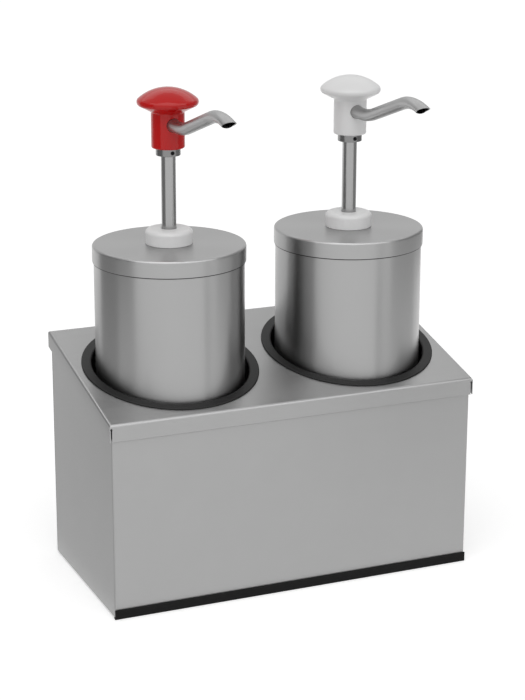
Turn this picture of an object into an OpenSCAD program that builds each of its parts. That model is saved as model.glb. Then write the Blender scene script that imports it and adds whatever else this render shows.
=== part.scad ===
// Countertop stand with two lift-out topping containers, each under a lid that carries a hand pump.
// Millimetres. +X to the right, +Y to the back, +Z up. The origin is the middle of the front
// edging's underside, on the counter. The first pump stands on the left, seen from the front.

/* [Stand] */
// Width over the side panels
stand_w = 395; // [392:1:430]
// Depth over the front and back panels
stand_d = 191; // [185:1:215]
// Thickness of the stand's sheet steel
sheet = 1; // [0.8:0.1:1.5]
// Outside radius of the sheet's bends
bend_r = 2; // [1.6:0.1:3]
// Height of the top plate's front edge
front_h = 206; // [195:1:225]
// Height of the top plate's back edge
back_h = 250; // [235:1:258]
// Depth of the top plate's skirt
skirt_h = 18; // [12:1:24]
// Gap between the skirt and the panels
skirt_gap = 1.5; // [1:0.1:3]
// Distance between the two containers' axes
pitch = 200; // [190:1:205]
// Height of the shelf that carries the containers
shelf_h = 112; // [105:1:120]
// Width of the folded flanges inside the stand
flange_w = 12; // [10:1:14]
// Depth of the shelf's turned-down edges
shelf_lip = 15; // [10:1:20]

/* [Rubber edging] */
// Thickness of each leg of the edging
edging_leg = 1.8; // [1.5:0.1:2]
// Height of the straight edging under the front and back panels
edging_h = 10.3; // [8:0.1:12]
// Thickness of the edging's web
edging_web = 2.3; // [2:0.1:3]
// Radial width of the edging round a container hole
ring_w = 10.5; // [9:0.1:11]
// Gap between that edging and the container at its front and back, measured level
ring_gap = 2.5; // [2:0.1:4]

/* [Container and lid] */
// Outside diameter of a container
container_d = 153; // [145:1:156]
// Wall of the container and the lid
pot_wall = 0.8; // [0.6:0.1:1]
// Height of a container
container_h = 244; // [240:1:260]
// Outside radius of the container's bottom edge
pot_corner = 6; // [4:1:10]
// Clearance between the lid's skirt and the container
lid_gap = 0.7; // [0.5:0.1:1]
// Height of the lid, its skirt included
lid_h = 18; // [14:1:22]
// Thickness of the lid's top
lid_top = 1; // [0.8:0.1:1.5]
// Outside radius of the lid's top edge
lid_edge_r = 2.6; // [2:0.1:3]

/* [Collar and barrel] */
// Diameter of the white collar that clamps the pump to the lid
collar_d = 48; // [44:1:54]
// Height of the collar
collar_h = 15.5; // [14:0.5:18]
// Radius of the collar's rounded top edge
collar_edge_r = 4.5; // [3:0.5:5]
// Outside diameter of the pump barrel
barrel_d = 28; // [28:0.5:30]
// Bore of the pump barrel
barrel_bore = 23; // [22:0.5:23.5]
// Outside diameter of the barrel's neck, above the lid's underside
neck_d = 32; // [31.5:0.5:34]
// Height of the neck above the lid
neck_h = 10; // [9:0.5:10.5]
// Diameter of the barrel's flange under the lid
flange_d = 44; // [42:1:50]
// Thickness of the flange
flange_t = 3.5; // [3:0.5:5]
// Thickness of the gasket between flange and lid
gasket_t = 1.5; // [1:0.1:2]
// Length of the barrel below its flange
barrel_l = 149; // [148:1:155]

/* [Plunger] */
// Outside diameter of the plunger tube
rod_d = 15; // [14.5:0.1:15.4]
// Bore of the plunger tube
rod_bore = 12; // [11:0.1:12.4]
// Height of the piston
piston_h = 24; // [22:1:26]
// Depth of the tube's seat in the piston
rod_seat = 10; // [9:0.5:11]
// Diameter of the discharge ball in the piston
discharge_ball_d = 13; // [12.8:0.1:13.4]
// Travel of each ball off its seat
ball_lift = 4; // [3:0.5:4]
// Diameter of the spring's wire
wire_d = 1.6; // [1.2:0.1:2]
// Outside diameter of the spring
spring_d = 20; // [19:0.5:20.5]

/* [Foot valve] */
// Diameter of the foot valve's body
foot_d = 30; // [29:0.5:34]
// Height of the foot valve's body below the barrel
foot_h = 14; // [13:0.5:18]
// Depth of its spigot in the barrel
spigot_h = 12; // [11.5:0.5:14]
// Diameter of the suction ball
suction_ball_d = 9.5; // [9:0.1:10]
// Outside diameter of the suction tube
suction_d = 14; // [13:0.5:15]
// Bore of the suction tube
suction_bore = 11; // [10:0.5:11.5]
// Gap between the suction tube and the container's bottom
suction_gap = 6; // [4:1:10]

/* [Head and knob] */
// Height of the knob's top above the lid
knob_top_h = 158; // [157:1:162]
// Diameter of the knob
knob_d = 62; // [58:1:64]
// Height of the knob above its widest line
dome_h = 14.5; // [13:0.5:16]
// Radius of the knob's rounded rim
rim_r = 3; // [2:0.5:4]
// Height of the cone under the knob's rim
cone_h = 10; // [8:0.5:12]
// Diameter of the head's stem
stem_d = 33; // [32:0.5:36]
// Length of the stem, from its bottom to the cone
stem_l = 36; // [35:0.5:40]
// Diameter of the steel ring under the stem
ring_d = 25; // [24:0.5:28]
// Height of that ring
ring_h = 7.5; // [7:0.1:7.5]
// Diameter of the grub screw in that ring
grub_d = 4; // [3:0.5:4]

/* [Spout] */
// Outside diameter of the spout tube
spout_d = 10.6; // [9.5:0.1:11]
// Wall of the spout tube
spout_wall = 1; // [0.8:0.1:1.2]
// Diameter of the swaged shoulder at the stem
shoulder_d = 13.6; // [12.5:0.1:14]
// Height of the spout's root above the stem's bottom
spout_root_h = 23.5; // [23:0.1:24]
// Slope of the rising part
spout_rise = 17; // [12:1:20]
// Slope of the drooping end
spout_droop = 14; // [12:1:25]
// Radius of the first bend
spout_r1 = 70; // [50:5:80]
// Radius of the second bend
spout_r2 = 60; // [45:5:70]
// Length of the rising straight part
spout_l = 76.5; // [60:0.5:80]
// Length of the drooping straight end, along its middle
mouth_l = 6; // [6:0.5:12]
// Angle at which the mouth's cut faces down
mouth_tilt = 62; // [45:1:62]

/* [Hidden] */
$fn = 96;
fit_gap = 0.05;
seat_gap = 0.3;
slide_gap = 0.1;
stop_gap = 0.5;
over = 1;

// Levels and places of the stand
plate_w = stand_w + 2 * (skirt_gap + sheet);
front_y = -sheet / 2;
back_y = front_y + stand_d;
mid_y = (front_y + back_y) / 2;
plate_front = front_y - skirt_gap - sheet;
plate_back = back_y + skirt_gap + sheet;
plate_d = plate_back - plate_front;
slope = atan((back_h - front_h) / plate_d);
plate_mid_h = (front_h + back_h) / 2;
deck_drop = sheet / cos(slope);
edging_t = sheet + 2 * edging_leg;
edging_r = edging_leg / 2;
foot_r = 1.2;
ring_in = (container_d / 2 + ring_gap) / cos(slope);
ring_out = ring_in + ring_w;
hole_r = ring_in + edging_t / 2 - seat_gap;
flange_relief = 1;
slit_w = 0.8;
relief_d = 2.4;
relief_drop = 4;
return_w = 15;
return_notch = edging_h + over;
rivet_d = 3.2;
rivet_head_d = 6.5;
rivet_head_h = 1.1;
rivet_bulb_d = 4.8;
rivet_bulb_h = 2;
rivet_rows = 3;
rivet_edge = 8;
rivet_low = 30;
rivet_high = 200;

// Levels of a pump, from the lid down and up
rim_z = shelf_h + container_h;
lid_z = rim_z + lid_top;
lid_r = container_d / 2 + lid_gap + pot_wall;
neck_top = lid_z + neck_h;
flange_top = rim_z - gasket_t;
flange_low = flange_top - flange_t;
barrel_low = flange_low - barrel_l;
lid_hole_d = neck_d + 2 * seat_gap;
lid_inner_r = min(lid_gap, lid_edge_r - pot_wall / 2);
neck_wall = 3.5;
bush_d = neck_d - 2 * neck_wall;
bush_depth = 11;
bush_low = rim_z - bush_depth;
bush_bore = rod_d + 2 * fit_gap;
seal_r = 1.2;
seal_pocket = rod_d / 2 + 2 * seal_r + slide_gap + fit_gap;
collar_chamfer = 0.5;
piston_top = bush_low - stop_gap;
piston_low = piston_top - piston_h;
piston_d = barrel_bore - 2 * fit_gap;
rod_low = piston_top - rod_seat;
ball_room = 4;
chamber_d = discharge_ball_d + ball_room;
discharge_hole_d = discharge_ball_d - ball_room;
discharge_seat_t = 2.5;
discharge_z = piston_low + discharge_seat_t + fit_gap
    + sqrt(pow(discharge_ball_d / 2, 2) - pow(discharge_hole_d / 2, 2));
groove_w = 3;
groove_depth = 1.9;
groove_r = barrel_bore / 2 - groove_depth;
groove_land = 2.5;
groove_z = piston_top - groove_w - groove_land;
slot_w = 3;
slot_h = 4;
foot_low = barrel_low - foot_h;
foot_top = barrel_low + spigot_h;
tube_seat_h = 11.5;
suction_seat_bite = 1.25;
suction_seat_t = 3;
suction_hole_d = suction_ball_d - 2 * suction_seat_bite;
suction_seat_z = foot_low + tube_seat_h + suction_seat_t;
suction_z = suction_seat_z + fit_gap
    + sqrt(pow(suction_ball_d / 2, 2) - pow(suction_hole_d / 2, 2));
cage_room = 4.5;
cage_bite = 1;
cage_d = suction_ball_d + cage_room;
cage_hole_d = suction_ball_d - 2 * cage_bite;
cage_z = suction_z + ball_lift + fit_gap
    + sqrt(pow(suction_ball_d / 2, 2) - pow(cage_hole_d / 2, 2));
cage_slot_l = cage_d - cage_bite;
suction_low = shelf_h + pot_wall + suction_gap;
spring_r = (spring_d - wire_d) / 2;
spring_low = foot_top + seat_gap;
spring_high = piston_low - seat_gap;
pressed_share = 1.75;
wire_sides = 6;
turn_steps = 14;

// Levels of the head
knob_top = lid_z + knob_top_h;
rim_level = knob_top - dome_h;
neck_level = rim_level - cone_h;
stem_low = neck_level - stem_l;
ring_low = stem_low - ring_h;
stroke = ring_low - lid_z - collar_h - stop_gap;
spring_turns = floor((spring_high - spring_low - stroke) / (pressed_share * wire_d));
rim_at = knob_d / 2 - rim_r;
dome_r = (pow(rim_at, 2) + pow(dome_h, 2) - pow(rim_r, 2)) / (2 * (dome_h - rim_r));
dome_z = knob_top - dome_r;
cone_dx = rim_at - stem_d / 2;
cone_reach = sqrt(pow(cone_dx, 2) + pow(cone_h, 2));
cone_angle = atan(cone_h / cone_dx) - asin(rim_r / cone_reach);
cone_l = sqrt(pow(cone_reach, 2) - pow(rim_r, 2));
spout_z = stem_low + spout_root_h;
head_web = 3;
rod_high = spout_z - spout_d / 2 - head_web;
head_chamber_h = spout_d + 2 * head_web;
spout_start = 5;
shoulder_depth = 2.5;
shoulder_at = stem_d / 2 - shoulder_depth;
shoulder_l = 4;
shoulder_cone = 6;
root_out = 11.5;
root_end = stem_d / 2 + root_out;
root_l = root_end - spout_start;
radian = 180 / PI;
bend_l1 = spout_r1 * spout_rise / radian;
bend_l2 = spout_r2 * (spout_rise + spout_droop) / radian;
droop_s = root_l + bend_l1 + spout_l + bend_l2;
mouth_s = droop_s + mouth_l;
rise_x = root_end + spout_r1 * sin(spout_rise);
rise_y = spout_r1 * (1 - cos(spout_rise));
crest_x = rise_x + spout_l * cos(spout_rise);
crest_y = rise_y + spout_l * sin(spout_rise);
bend_steps = 6;
spout_sides = 32;
flat_l = 40;
mouth_wide_share = 0.16;
mouth_flat_share = 0.16;
ring_chamfer = 0.5;
grub_l = 3.4;
grub_key = 2;
overhang = 400;

// Height of the top plate's upper face at a depth
function deck_z(y) = front_h + (y - plate_front) * tan(slope);

// Places a child, drawn about an upright axis, at the left or right container
module at_pump(side) translate([side * pitch / 2, mid_y, 0]) children();

// Places a child, drawn level about the plate's middle, in the plane of the plate's upper face
module on_deck() translate([0, mid_y, plate_mid_h]) rotate([slope, 0, 0]) children();

// Upright solid turned from a profile of radius and height
module turned() rotate_extrude() children();

// Rectangle of radius and height, for a turned profile
module band(r0, r1, z0, z1) translate([r0, z0]) square([r1 - r0, z1 - z0]);

// Stand

// Level outline of the folded panels, grown by a radius round the bends' centres
module wrap_outline(r) {
    w = stand_w / 2 - bend_r;
    y0 = front_y + bend_r;
    y1 = back_y - sheet - bend_r;
    translate([-w - r, y0]) square([2 * (w + r), y1 - y0]);
    translate([-w, y0 - r]) square([2 * w, y1 - y0 + 2 * r]);
    for (x = [-w, w], y = [y0, y1]) translate([x, y]) circle(r);
}

// Everything under a plane that lies a depth below the plate's upper face
module under_deck(depth) {
    on_deck() translate([-overhang, -overhang, -overhang - depth])
        cube([2 * overhang, 2 * overhang, overhang]);
}

module rivet_holes(d) {
    step = (rivet_high - rivet_low) / (rivet_rows - 1);
    for (side = [-1, 1], row = [0 : rivet_rows - 1])
        translate([side * (stand_w / 2 - rivet_edge), back_y + over, rivet_low + row * step])
            rotate([90, 0, 0]) cylinder(d = d, h = 2 * sheet + 2 * over);
}

module panel_wrap() {
    top = back_h + over;
    color("silver") difference() {
        intersection() {
            union() {
                translate([0, 0, edging_web]) linear_extrude(top) difference() {
                    wrap_outline(bend_r);
                    wrap_outline(bend_r - sheet);
                }
                difference() {
                    linear_extrude(top) wrap_outline(bend_r - sheet / 2);
                    under_deck(2 * sheet);
                    translate([-stand_w / 2 + flange_w, flange_w, 0])
                        cube([stand_w - 2 * flange_w, stand_d, top + over]);
                    for (side = [-1, 1]) on_deck() translate([side * pitch / 2, 0, 0])
                        cylinder(r = ring_out + flange_relief, h = 8 * sheet, center = true);
                }
            }
            under_deck(sheet);
        }
        translate([-stand_w / 2 + return_w, mid_y, -over])
            cube([stand_w - 2 * return_w, stand_d, top + 2 * over]);
        translate([-stand_w / 2 + bend_r + sheet, mid_y, -over])
            cube([stand_w - 2 * (bend_r + sheet), stand_d, return_notch + over]);
        rivet_holes(rivet_d + 2 * slide_gap);
    }
}

module back_panel() {
    w = stand_w - 2 * seat_gap;
    top = deck_z(back_y - sheet) - deck_drop - seat_gap;
    color("silver") difference() {
        translate([-w / 2, back_y - sheet, edging_web]) cube([w, sheet, top - edging_web]);
        rivet_holes(rivet_d + 2 * slide_gap);
    }
}

// Filled outline of the plate from front to back, with its bends, grown by a radius round their
// centres; a drop lowers its bottom line
module deck_profile(r, drop) {
    yf = plate_front + bend_r;
    yb = plate_back - bend_r;
    off = bend_r / cos(slope);
    zf = deck_z(yf) - off;
    zb = deck_z(yb) - off;
    up = [-sin(slope) * r, cos(slope) * r];
    polygon(concat(
        [[yf - r, front_h - skirt_h - drop]],
        [for (i = [0 : bend_steps]) let (t = 180 - (90 - slope) * i / bend_steps)
            [yf + r * cos(t), zf + r * sin(t)]],
        [for (i = [0 : bend_steps]) let (t = (90 + slope) * (1 - i / bend_steps))
            [yb + r * cos(t), zb + r * sin(t)]],
        [[yb + r, back_h - skirt_h - drop]]
    ));
}

module top_plate() {
    color("silver") difference() {
        translate([-plate_w / 2, 0, 0]) rotate([90, 0, 90]) linear_extrude(plate_w) deck_profile(bend_r, 0);
        translate([sheet - plate_w / 2, 0, 0]) rotate([90, 0, 90])
            linear_extrude(plate_w - 2 * sheet) deck_profile(bend_r - sheet, over);
        for (side = [-1, 1]) on_deck() translate([side * pitch / 2, 0, -2 * bend_r])
            cylinder(r = hole_r, h = 4 * bend_r);
        for (side = [-1, 1]) {
            corner_slit(side, plate_front + sheet, front_h);
            corner_slit(side, plate_back - sheet - slit_w, back_h);
        }
    }
}

// Slit in a side skirt beside the front or back one, ending in a round relief hole
module corner_slit(side, y, top) {
    translate([side * (plate_w / 2) - sheet - over / 2, y, top - skirt_h - over])
        cube([2 * sheet + over, slit_w, skirt_h + over - relief_drop]);
    translate([side * (plate_w / 2) - sheet - over / 2, y + slit_w / 2, top - relief_drop])
        rotate([0, 90, 0]) cylinder(d = relief_d, h = 2 * sheet + over);
}

module container_shelf() {
    x = stand_w / 2 - sheet;
    y0 = front_y + sheet;
    y1 = back_y - 2 * sheet;
    color("silver") difference() {
        translate([-x, y0, shelf_h - shelf_lip]) cube([2 * x, y1 - y0, shelf_lip]);
        translate([-x + sheet, y0 + sheet, shelf_h - shelf_lip - over])
            cube([2 * (x - sheet), y1 - y0 - 2 * sheet, shelf_lip + over - sheet]);
        for (sx = [-1, 1], y = [y0, y1]) translate([sx * x, y, shelf_h - shelf_lip - over])
            cylinder(r = bend_r + sheet, h = shelf_lip + 2 * over);
    }
}

// Section of the straight edging, its slot upwards
module edging_section() {
    difference() {
        union() {
            translate([-edging_t / 2, foot_r]) square([edging_t, edging_h - foot_r - edging_r]);
            translate([foot_r - edging_t / 2, 0]) square([edging_t - 2 * foot_r, edging_h / 2]);
            for (s = [-1, 1]) {
                translate([s * (edging_t / 2 - foot_r), foot_r]) circle(foot_r);
                translate([s * (edging_t / 2 - edging_r), edging_h - edging_r]) circle(edging_r);
            }
        }
        translate([-sheet / 2, edging_web]) square([sheet, edging_h]);
    }
}

module front_edging() {
    inner = stand_w - 2 * (sheet + bend_r);
    color("#2b2b2b") difference() {
        translate([-stand_w / 2, 0, 0]) rotate([90, 0, 90]) linear_extrude(stand_w) edging_section();
        for (s = [-1, 1])
            translate([s * (inner + stand_w) / 2, (edging_t - sheet) / 2, edging_web + edging_h])
                cube([stand_w, edging_t, 2 * edging_h], center = true);
    }
}

module rear_edging() {
    w = stand_w - 2 * (bend_r + sheet + seat_gap);
    color("#2b2b2b") translate([-w / 2, back_y - sheet / 2, 0])
        rotate([90, 0, 90]) linear_extrude(w) edging_section();
}

module back_rivets() {
    step = (rivet_high - rivet_low) / (rivet_rows - 1);
    ball = (pow(rivet_head_d / 2, 2) + pow(rivet_head_h, 2)) / (2 * rivet_head_h);
    color("gainsboro") for (side = [-1, 1], row = [0 : rivet_rows - 1])
        translate([side * (stand_w / 2 - rivet_edge), back_y, rivet_low + row * step])
            rotate([-90, 0, 0]) union() {
                intersection() {
                    translate([0, 0, rivet_head_h - ball]) sphere(ball);
                    cylinder(d = rivet_head_d + over, h = rivet_head_h + over);
                }
                translate([0, 0, -2 * sheet - rivet_bulb_h / 2])
                    cylinder(d = rivet_d, h = 2 * sheet + rivet_bulb_h / 2 + rivet_head_h / 2);
                translate([0, 0, -2 * sheet - rivet_bulb_h]) cylinder(d = rivet_bulb_d, h = rivet_bulb_h);
            }
}

module hole_edging(side) {
    nose = ring_in + edging_t / 2;
    tip = ring_out - edging_r;
    color("#2b2b2b") on_deck() translate([side * pitch / 2, 0, -sheet / 2]) turned() difference() {
        union() {
            translate([nose, 0]) circle(d = edging_t);
            band(nose, tip, -edging_t / 2, edging_t / 2);
            for (s = [-1, 1]) translate([tip, s * (edging_t / 2 - edging_r)]) circle(edging_r);
        }
        band(hole_r - seat_gap, ring_out + over, -sheet / 2, sheet / 2);
    }
}

// Container and lid

// Section of a pot's inside or outside, with a rounded bottom edge
module pot_section(r, z0, z1, corner) {
    band(0, r, z0 + corner, z1);
    band(0, r - corner, z0, z1);
    translate([r - corner, z0 + corner]) circle(corner);
}

module container(side) {
    r = container_d / 2;
    color("silver") at_pump(side) turned() difference() {
        pot_section(r, shelf_h, rim_z, pot_corner);
        pot_section(r - pot_wall, shelf_h + pot_wall, rim_z + over, pot_corner - pot_wall);
    }
}

module lid(side) {
    inner = lid_r - pot_wall;
    color("silver") at_pump(side) turned() difference() {
        union() {
            band(0, lid_r, lid_z - lid_h, lid_z - lid_edge_r);
            band(0, lid_r - lid_edge_r, lid_z - lid_h, lid_z);
            translate([lid_r - lid_edge_r, lid_z - lid_edge_r]) circle(lid_edge_r);
        }
        band(0, inner, lid_z - lid_h - over, rim_z - lid_inner_r);
        band(0, inner - lid_inner_r, lid_z - lid_h - over, rim_z);
        translate([inner - lid_inner_r, rim_z - lid_inner_r]) circle(lid_inner_r);
        band(0, lid_hole_d / 2, lid_z - lid_h - over, lid_z + over);
    }
}

// Pump barrel and what is fixed to it

module collar(side) {
    r = collar_d / 2;
    color("white") at_pump(side) turned() difference() {
        union() {
            band(0, r, lid_z + collar_chamfer, lid_z + collar_h - collar_edge_r);
            band(0, r - collar_chamfer, lid_z, lid_z + 2 * collar_chamfer);
            band(0, r - collar_edge_r, lid_z, lid_z + collar_h);
            translate([r - collar_edge_r, lid_z + collar_h - collar_edge_r]) circle(collar_edge_r);
        }
        band(0, neck_d / 2 + slide_gap, lid_z - over, neck_top + seat_gap);
        band(0, rod_d / 2 + seat_gap, lid_z, lid_z + collar_h + over);
    }
}

module gasket(side) {
    color("white") at_pump(side) turned()
        band(neck_d / 2 + seat_gap, flange_d / 2, flange_top, rim_z);
}

module barrel(side) {
    color("whitesmoke") at_pump(side) turned() difference() {
        union() {
            band(0, barrel_d / 2, barrel_low, flange_low + over);
            band(0, flange_d / 2, flange_low, flange_top);
            band(0, neck_d / 2, flange_low, neck_top);
        }
        band(0, barrel_bore / 2, barrel_low - over, bush_low + over);
        band(0, bush_d / 2 + fit_gap, bush_low, neck_top + over);
    }
}

module guide_bush(side) {
    color("white") at_pump(side) turned() difference() {
        band(0, bush_d / 2, bush_low, neck_top);
        band(0, bush_bore / 2, bush_low - over, neck_top + over);
        band(0, seal_pocket, neck_top - 2 * seal_r - slide_gap, neck_top + over);
    }
}

module rod_seal(side) {
    color("#333333") at_pump(side) turned()
        translate([rod_d / 2 + fit_gap + seal_r, neck_top - seal_r]) circle(seal_r);
}

module foot_valve(side) {
    color("white") at_pump(side) difference() {
        turned() difference() {
            union() {
                band(0, foot_d / 2, foot_low, barrel_low);
                band(0, barrel_bore / 2 - fit_gap, foot_low + over, foot_top);
            }
            band(0, suction_d / 2 + fit_gap, foot_low - over, foot_low + tube_seat_h);
            band(0, suction_hole_d / 2, foot_low, suction_seat_z + over);
            band(0, cage_d / 2, suction_seat_z, cage_z);
            band(0, cage_hole_d / 2, cage_z - over, foot_top + over);
        }
        for (a = [0, 90]) rotate([0, 0, a]) translate([-cage_slot_l / 2, -slot_w / 2, cage_z - over])
            cube([cage_slot_l, slot_w, foot_top - cage_z + 2 * over]);
    }
}

module suction_tube(side) {
    color("whitesmoke") at_pump(side) turned()
        band(suction_bore / 2, suction_d / 2, suction_low, foot_low + tube_seat_h);
}

module suction_ball(side) {
    color("silver") at_pump(side) translate([0, 0, suction_z]) sphere(d = suction_ball_d);
}

// Point on the wire's skin at a step along the coil and a step round the wire
function coil_point(i, j, rise) =
    let (a = 360 * i / turn_steps, b = 360 * j / wire_sides, r = spring_r + wire_d / 2 * cos(b))
    [r * cos(a), r * sin(a), spring_low + wire_d / 2 * (1 + sin(b)) + rise * i];

module return_spring(side) {
    steps = spring_turns * turn_steps;
    rise = (spring_high - spring_low - wire_d) / steps;
    n = wire_sides;
    skin = [for (i = [0 : steps], j = [0 : n - 1]) coil_point(i, j, rise)];
    first = [for (j = [0 : n - 1]) j];
    last = [for (j = [n - 1 : -1 : 0]) steps * n + j];
    walls = [for (i = [0 : steps - 1], j = [0 : n - 1], half = [0, 1])
        let (k = (j + 1) % n, a = i * n + j, b = i * n + k, c = a + n, d = b + n)
        half == 0 ? [a, c, b] : [b, c, d]];
    echo(least_gap_between_turns = rise * turn_steps - wire_d);
    color("silver") at_pump(side) polyhedron(skin, concat([first], walls, [last]));
}

// Plunger

module piston(side) {
    color("white") at_pump(side) turned() difference() {
        band(0, piston_d / 2, piston_low, piston_top);
        band(0, discharge_hole_d / 2, piston_low - over, piston_top);
        band(0, chamber_d / 2, piston_low + discharge_seat_t, rod_low);
        band(0, rod_d / 2 + fit_gap, rod_low - over, piston_top + over);
        band(groove_r, barrel_bore, groove_z, groove_z + groove_w);
    }
}

module piston_seal(side) {
    color("#333333") at_pump(side) turned()
        band(groove_r + fit_gap, (barrel_bore - fit_gap) / 2,
            groove_z + slide_gap, groove_z + groove_w - slide_gap);
}

module discharge_ball(side) {
    color("silver") at_pump(side) translate([0, 0, discharge_z]) sphere(d = discharge_ball_d);
}

module plunger_tube(side) {
    color("gainsboro") at_pump(side) difference() {
        turned() band(rod_bore / 2, rod_d / 2, rod_low, rod_high);
        for (a = [0, 90]) rotate([0, 0, a]) translate([-rod_d, -slot_w / 2, rod_low - over])
            cube([2 * rod_d, slot_w, slot_h + over]);
    }
}

module steel_ring(side) {
    color("silver") at_pump(side) difference() {
        turned() difference() {
            union() {
                band(0, ring_d / 2, ring_low + ring_chamfer, stem_low);
                polygon([[0, ring_low], [ring_d / 2 - ring_chamfer, ring_low],
                    [ring_d / 2, ring_low + ring_chamfer], [0, ring_low + ring_chamfer]]);
            }
            band(0, rod_d / 2 + fit_gap, ring_low - over, stem_low + over);
        }
        translate([0, 0, ring_low + ring_h / 2]) rotate([90, 0, 0]) cylinder(d = grub_d, h = ring_d);
    }
}

module grub_screw(side) {
    color("dimgray") at_pump(side) translate([0, -rod_d / 2 - fit_gap, ring_low + ring_h / 2])
        rotate([90, 0, 0]) difference() {
            cylinder(d = grub_d - 2 * fit_gap, h = grub_l);
            translate([0, 0, grub_l / 2]) cylinder(d = grub_key, h = grub_l, $fn = 6);
        }
}

// Section of the head: a stem, a cone, a rounded rim and a dome
module head_section() {
    rise = rim_level - dome_z;
    k = dome_r / rise;
    band(0, stem_d / 2, stem_low, neck_level + over);
    intersection() {
        translate([0, dome_z]) circle(dome_r);
        polygon([[0, dome_z], [k * rim_at, knob_top], [0, knob_top]]);
    }
    translate([rim_at, rim_level]) circle(rim_r);
    polygon([
        [0, neck_level], [stem_d / 2, neck_level],
        [stem_d / 2 + cone_l * cos(cone_angle), neck_level + cone_l * sin(cone_angle)],
        [rim_at, rim_level],
        [rim_at + rim_r * rim_at / (dome_r - rim_r), rim_level + rim_r * rise / (dome_r - rim_r)],
        [0, rim_level]
    ]);
}

module knob(side, tint) {
    color(tint) at_pump(side) difference() {
        turned() difference() {
            head_section();
            band(0, rod_d / 2 + fit_gap, stem_low - over, rod_high + seat_gap);
            band(0, rod_bore / 2, stem_low, rod_high + head_chamber_h);
        }
        translate([0, 0, spout_z]) rotate([90, 0, 0]) {
            cylinder(d = spout_d + 2 * fit_gap, h = stem_d);
            translate([0, 0, shoulder_at - seat_gap]) cylinder(d = shoulder_d + 2 * seat_gap, h = stem_d);
        }
    }
}

// Place and heading on the spout's centreline, a distance along it from its root
function spout_at(s) =
    s <= root_l ? [spout_start + s, 0, 0] :
    s <= root_l + bend_l1 ?
        let (t = (s - root_l) / spout_r1 * radian)
            [root_end + spout_r1 * sin(t), spout_r1 * (1 - cos(t)), t] :
    s <= root_l + bend_l1 + spout_l ?
        let (l = s - root_l - bend_l1)
            [rise_x + l * cos(spout_rise), rise_y + l * sin(spout_rise), spout_rise] :
    s <= droop_s ?
        let (t = spout_rise - (s - droop_s + bend_l2) / spout_r2 * radian)
            [crest_x + spout_r2 * (sin(spout_rise) - sin(t)),
                crest_y + spout_r2 * (cos(t) - cos(spout_rise)), t] :
    let (l = s - droop_s, t = spout_rise - bend_l2 / spout_r2 * radian)
        [crest_x + spout_r2 * (sin(spout_rise) - sin(t)) + l * cos(t),
            crest_y + spout_r2 * (cos(t) - cos(spout_rise)) + l * sin(t), t];

// Ring of points round the centreline; the tube widens and flattens towards the mouth's cut
function spout_ring(s, r, cut) =
    let (c = spout_at(s), flat = max(0, s - mouth_s + flat_l) / flat_l, h = c[2])
    [for (j = [0 : spout_sides - 1])
        let (a = 360 * j / spout_sides,
            u = r * (1 + flat * mouth_wide_share) * sin(a),
            v = r * (1 - flat * mouth_flat_share) * cos(a),
            e = cut * v * tan(mouth_tilt - spout_droop))
        [c[0] + e * cos(h) - v * sin(h), c[1] + e * sin(h) + v * cos(h), u]];

// The spout: its outside from root to mouth, then its bore back again, closed into one skin
module spout(side) {
    ro = spout_d / 2;
    ri = ro - spout_wall;
    rs = shoulder_d / 2;
    s0 = shoulder_at - spout_start;
    bends = concat(
        [for (i = [0 : bend_steps]) root_l + bend_l1 * i / bend_steps],
        [for (i = [0 : bend_steps]) droop_s - bend_l2 * (1 - i / bend_steps)]);
    rings = concat(
        [spout_ring(0, ro, 0), spout_ring(s0, ro, 0), spout_ring(s0, rs, 0)],
        [spout_ring(s0 + shoulder_l, rs, 0), spout_ring(s0 + shoulder_l + shoulder_cone, ro, 0)],
        [for (s = bends) spout_ring(s, ro, 0)],
        [spout_ring(mouth_s, ro, 1), spout_ring(mouth_s, ri, 1)],
        [for (i = [len(bends) - 1 : -1 : 0]) spout_ring(bends[i], ri, 0)],
        [spout_ring(0, ri, 0)]);
    n = spout_sides;
    m = len(rings);
    walls = [for (i = [0 : m - 1], j = [0 : n - 1], half = [0, 1])
        let (k = (j + 1) % n, next = (i + 1) % m * n,
            a = i * n + j, b = i * n + k, c = next + j, d = next + k)
        half == 0 ? [a, b, c] : [b, d, c]];
    color("silver") at_pump(side) translate([0, 0, spout_z]) rotate([90, 0, -90])
        polyhedron([for (ring = rings, p = ring) p], walls);
}

panel_wrap();
back_panel();
top_plate();
container_shelf();
front_edging();
rear_edging();
back_rivets();
hole_edging(-1);  // left_hole_edging
hole_edging(1);  // right_hole_edging
container(-1);  // left_container
lid(-1);  // left_lid
collar(-1);  // left_collar
gasket(-1);  // left_gasket
barrel(-1);  // left_barrel
guide_bush(-1);  // left_guide_bush
rod_seal(-1);  // left_rod_seal
foot_valve(-1);  // left_foot_valve
suction_tube(-1);  // left_suction_tube
suction_ball(-1);  // left_suction_ball
return_spring(-1);  // left_return_spring
piston(-1);  // left_piston
piston_seal(-1);  // left_piston_seal
discharge_ball(-1);  // left_discharge_ball
plunger_tube(-1);  // left_plunger_tube
steel_ring(-1);  // left_steel_ring
grub_screw(-1);  // left_grub_screw
knob(-1, "#b01818");  // left_knob
spout(-1);  // left_spout
container(1);  // right_container
lid(1);  // right_lid
collar(1);  // right_collar
gasket(1);  // right_gasket
barrel(1);  // right_barrel
guide_bush(1);  // right_guide_bush
rod_seal(1);  // right_rod_seal
foot_valve(1);  // right_foot_valve
suction_tube(1);  // right_suction_tube
suction_ball(1);  // right_suction_ball
return_spring(1);  // right_return_spring
piston(1);  // right_piston
piston_seal(1);  // right_piston_seal
discharge_ball(1);  // right_discharge_ball
plunger_tube(1);  // right_plunger_tube
steel_ring(1);  // right_steel_ring
grub_screw(1);  // right_grub_screw
knob(1, "#e4e4e2");  // right_knob
spout(1);  // right_spout
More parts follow.
